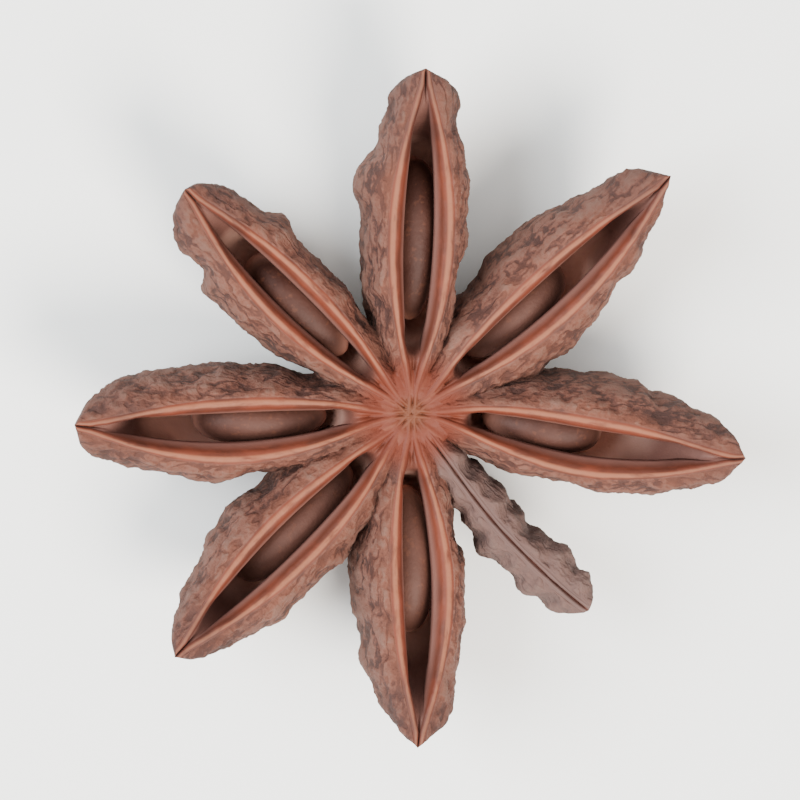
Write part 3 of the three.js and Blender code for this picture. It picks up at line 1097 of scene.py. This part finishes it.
class FruitSizes(bpy.types.PropertyGroup):
    """Sizes of a full-grown carpel and of the dry bark's relief."""

    reach: length("Reach", "From the fruit's axis to the tip of the beak", REACH)
    breadth: length("Breadth", "From flank to flank", BREADTH)
    depth: length("Depth", "From the lips down to the keel", DEPTH)
    gape: length("Gape", "From ridge to ridge where the split is widest", GAPE)
    rim_height: length("Rim Height", "Lips at the hub above the floor", RIM_HEIGHT)
    beak_rise: length("Beak Rise", "The beak's tip above the lips at the hub", BEAK_RISE)
    wall: length("Wall", "Thickness of a flank beside the hollow", WALL)
    keel_wall: length("Keel Wall", "Thickness under the hollow", KEEL_WALL)
    fold_height: length("Fold Height", "How far the bark's long folds stand out", FOLD_HEIGHT)
    wrinkle_height: length("Wrinkle Height", "How far the bark's wrinkles stand out", WRINKLE_HEIGHT)
    stations: bpy.props.IntProperty(
        name="Stations", description="Rings of points along a carpel", default=STATIONS, min=12
    )
    girth_steps: bpy.props.IntProperty(
        name="Girth Steps", description="Points in a ring", default=GIRTH_STEPS, min=25
    )


class SeedSizes(bpy.types.PropertyGroup):
    """Sizes of a seed in a full-grown carpel."""

    length: length("Length", "From end to end", SEED_LENGTH)
    height: length("Height", "From edge to edge", SEED_HEIGHT)
    thickness: length("Thickness", "From side to side", SEED_THICKNESS)
    narrowing: amount("Narrowing", "How much bigger the outer end is than the inner one", SEED_NARROWING)
    bluntness: amount("Bluntness", "How full the edge is", SEED_BLUNTNESS)


class FruitColours(bpy.types.PropertyGroup):
    """Base colours of the fruit wall and the seeds."""

    bark: colour("Bark", "Outside of the fruit wall", (0.125, 0.047, 0.032))
    # Painted shade in the creases and cracks of the outside; it also darkens the tips.
    bark_shadow: colour("Bark Shadow", "Creases of the outside", (0.043, 0.019, 0.0155))
    # Weathered bark and painted shade on the lower flanks.
    keel: colour("Keel", "Weathered bark on the lower flanks", (0.075, 0.047, 0.036))
    # Greyish bloom on the outside; on the crests of the bark it is also a painted highlight.
    dust_and_highlight: colour("Dust", "Greyish bloom on the outside", (0.142, 0.094, 0.075))
    rubbed: colour("Rubbed Bark", "Bark worn bare beside the lips", (0.115, 0.037, 0.0215))
    withered: colour("Withered Bark", "Outside of the shut carpel", (0.093, 0.059, 0.052))
    lip: colour("Lip", "Smooth slope inside the lips", (0.115, 0.025, 0.012))
    lip_shadow: colour("Lip Shadow", "Streaks on the slope", (0.074, 0.018, 0.0093))
    ridge: colour("Ridge", "Pale edge of the lips", (0.2, 0.07, 0.036))
    hub: colour("Hub", "Middle of the star", (0.104, 0.021, 0.01))
    hub_centre: colour("Hub Centre", "Dimple in the middle of the hub", (0.098, 0.0275, 0.011))
    # Painted light: far paler than the inside's own colour, to offset the shade deep in the hollows.
    hollow: colour("Hollow", "Deep inside of the carpels", (0.66, 0.38, 0.3))
    # The inside's own colour, where it is shallow or close under the lips.
    hollow_shallow: colour("Hollow Shallow", "Inside of the carpels near the lips", (0.175, 0.077, 0.06))
    # Painted paler than the coat's own colour, to offset the shade on the seed's sides.
    seed: colour("Seed", "Sides of the seed coat", (0.33, 0.15, 0.11))
    seed_crest: colour("Seed Crest", "Upper edge of the seed coat", (0.038, 0.0122, 0.008))


class StageSettings(bpy.types.PropertyGroup):
    """Floor, lights and camera."""

    floor_colour: colour("Floor", "Colour of the floor", (0.88, 0.885, 0.87))
    azimuth: amount("Azimuth", "Camera's bearing; 0 looks along +Y", math.radians(230), subtype="ANGLE")
    elevation: amount("Elevation", "Camera's angle above the floor", math.radians(79), subtype="ANGLE")
    distance: length("Distance", "Camera to the middle of the fruit", 450 * MM)
    focal_length: amount("Focal Length", "Camera's focal length in millimetres", 400.0, min=20.0)
    key_power: amount("Key Power", "Power of the main light", 6.3, unit="POWER")
    key_tint: colour("Key Tint", "Colour of the main light", (1.0, 0.93, 0.85))
    fill_power: amount("Fill Power", "Power of the fill light", 5.0, unit="POWER")
    fill_tint: colour("Fill Tint", "Colour of the fill light", (0.9, 0.96, 1.0))


class StarAniseSettings(bpy.types.PropertyGroup):
    """All the values that the builders read."""

    sizes: bpy.props.PointerProperty(type=FruitSizes)
    seeds: bpy.props.PointerProperty(type=SeedSizes)
    colours: bpy.props.PointerProperty(type=FruitColours)
    stage: bpy.props.PointerProperty(type=StageSettings)


# ---- Operators ----


def shared_mottling():
    return bpy.data.node_groups.get("dry mottling") or mottle_group()


def values_for(inputs, settings):
    """The settings that a node group has an input for, by the input's label."""
    names = {label: label.lower().replace(" ", "_") for label, _ in inputs}
    return {label: getattr(settings, name) for label, name in names.items() if hasattr(settings, name)}


class STAR_ANISE_OT_build_pod(bpy.types.Operator):
    """Build the fruit wall: the column and all its carpels, as one closed mesh"""

    bl_idname = "star_anise.build_pod"
    bl_label = "Build Fruit Wall"

    def execute(self, context):
        settings = context.scene.star_anise
        sizes = settings.sizes
        axis_x, axis_y = fruit_axis(sizes)
        coarse = 1.0
        values = values_for(FRUIT_INPUTS, sizes) | {
            "Axis X": axis_x,
            "Axis Y": axis_y,
            "Stations": int(sizes.stations * coarse),
            "Girth Steps": int(sizes.girth_steps * coarse),
            "Material": pericarp_material(settings.colours, shared_mottling()),
        }
        pod = grow("fruit_wall", column_mesh(sizes), fruit_tree(), values)
        pod.data.shade_smooth()
        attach(pod, BODY)
        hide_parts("pod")
        return {"FINISHED"}


def roll_share(along):
    """How much of a carpel's roll there is at a plain share of its length."""
    share = (along - ROLL_START) / (ROLL_FULL - ROLL_START)
    return share * share * (3 - 2 * share)


class STAR_ANISE_OT_build_seeds(bpy.types.Operator):
    """Build the seed of each open carpel"""

    bl_idname = "star_anise.build_seeds"
    bl_label = "Build Seeds"

    def execute(self, context):
        settings = context.scene.star_anise
        sizes = settings.seeds
        tree = seed_tree()
        coat = seed_material(settings.colours, shared_mottling())
        for phase, carpel in enumerate(CARPELS):
            if carpel.seed is None:
                continue
            node = f"seed_{carpel.name}"
            low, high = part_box(node)
            middle = (low + high) / 2
            values = values_for(SEED_INPUTS, sizes) | {
                "Length": sizes.length * carpel.seed.size,
                "Height": sizes.height * carpel.depth,
                "Place X": middle.x,
                "Place Y": middle.y,
                "Place Z": middle.z,
                "Roll": math.radians(carpel.roll) * roll_share(carpel.seed.place),
                "Angle": math.radians(carpel.angle),
                "Phase": float(phase),
                "Paleness": carpel.seed.paleness,
                "Material": coat,
            }
            seed = grow(f"{node}_coat", bpy.data.meshes.new(node), tree, values)
            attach(seed, BODY)
            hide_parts(node)
        return {"FINISHED"}


def add_area_light(name, place, size, power, tint, target):
    light = bpy.data.lights.new(name, "AREA")
    light.shape = "DISK"
    light.size = size
    light.energy = power
    light.color = tint
    lamp = bpy.data.objects.new(name, light)
    lamp.location = place
    lamp.rotation_mode = "QUATERNION"
    lamp.rotation_quaternion = (Vector(place) - target).to_track_quat("Z", "Y")
    bpy.context.scene.collection.objects.link(lamp)


class STAR_ANISE_OT_build_stage(bpy.types.Operator):
    """Build the pale floor, the soft lights and the camera"""

    bl_idname = "star_anise.build_stage"
    bl_label = "Build Stage"

    def execute(self, context):
        stage = context.scene.star_anise.stage
        mesh = bpy.data.meshes.new("floor")
        corners = [(FLOOR_HALF * x, FLOOR_HALF * y, 0) for x, y in ((-1, -1), (1, -1), (1, 1), (-1, 1))]
        mesh.from_pydata(corners, [], [(0, 1, 2, 3)])
        mesh.materials.append(floor_material(stage))
        floor = bpy.data.objects.new("floor", mesh)
        context.scene.collection.objects.link(floor)

        low, high = CAD_BOX
        target = (low + high) / 2
        add_area_light("key light", KEY_PLACE, KEY_SIZE, stage.key_power, stage.key_tint, target)
        add_area_light("fill light", FILL_PLACE, FILL_SIZE, stage.fill_power, stage.fill_tint, target)
        world = bpy.data.worlds.new("soft room")
        world.use_nodes = True
        background = world.node_tree.nodes["Background"]
        background.inputs["Color"].default_value = ROOM_COLOUR
        background.inputs["Strength"].default_value = ROOM_STRENGTH
        context.scene.world = world

        turn = stage.azimuth
        rise = stage.elevation
        level = math.cos(rise)
        back = Vector((math.sin(turn) * level, -math.cos(turn) * level, math.sin(rise)))
        right = Vector((0, 1, 0)).cross(back).normalized()
        up = back.cross(right)
        camera_data = bpy.data.cameras.new("camera")
        camera_data.lens = stage.focal_length
        camera_data.clip_start = 0.01
        camera = bpy.data.objects.new("camera", camera_data)
        camera.rotation_mode = "QUATERNION"
        camera.rotation_quaternion = Matrix((right, up, back)).transposed().to_quaternion()
        camera.location = target + back * stage.distance
        context.scene.collection.objects.link(camera)
        context.scene.camera = camera
        return {"FINISHED"}


class STAR_ANISE_PT_panel(bpy.types.Panel):
    """Builders and their values"""

    bl_idname = "STAR_ANISE_PT_panel"
    bl_label = "Star Anise"
    bl_space_type = "VIEW_3D"
    bl_region_type = "UI"
    bl_category = "Star Anise"

    def draw(self, context):
        settings = context.scene.star_anise
        for group in (settings.sizes, settings.seeds, settings.colours, settings.stage):
            box = self.layout.box()
            for name in group.__annotations__:
                box.prop(group, name)
        for operator in BUILDERS:
            self.layout.operator(operator.bl_idname)


GROUPS = (FruitSizes, SeedSizes, FruitColours, StageSettings, StarAniseSettings)
BUILDERS = (STAR_ANISE_OT_build_pod, STAR_ANISE_OT_build_seeds, STAR_ANISE_OT_build_stage)
CLASSES = (*GROUPS, *BUILDERS, STAR_ANISE_PT_panel)


def register():
    for each in CLASSES:
        bpy.utils.register_class(each)
    bpy.types.Scene.star_anise = bpy.props.PointerProperty(type=StarAniseSettings)


def unregister():
    del bpy.types.Scene.star_anise
    for each in reversed(CLASSES):
        bpy.utils.unregister_class(each)


def main():
    register()
    bpy.ops.star_anise.build_pod()
    bpy.ops.star_anise.build_seeds()
    bpy.ops.star_anise.build_stage()


if __name__ == "__main__":
    main()
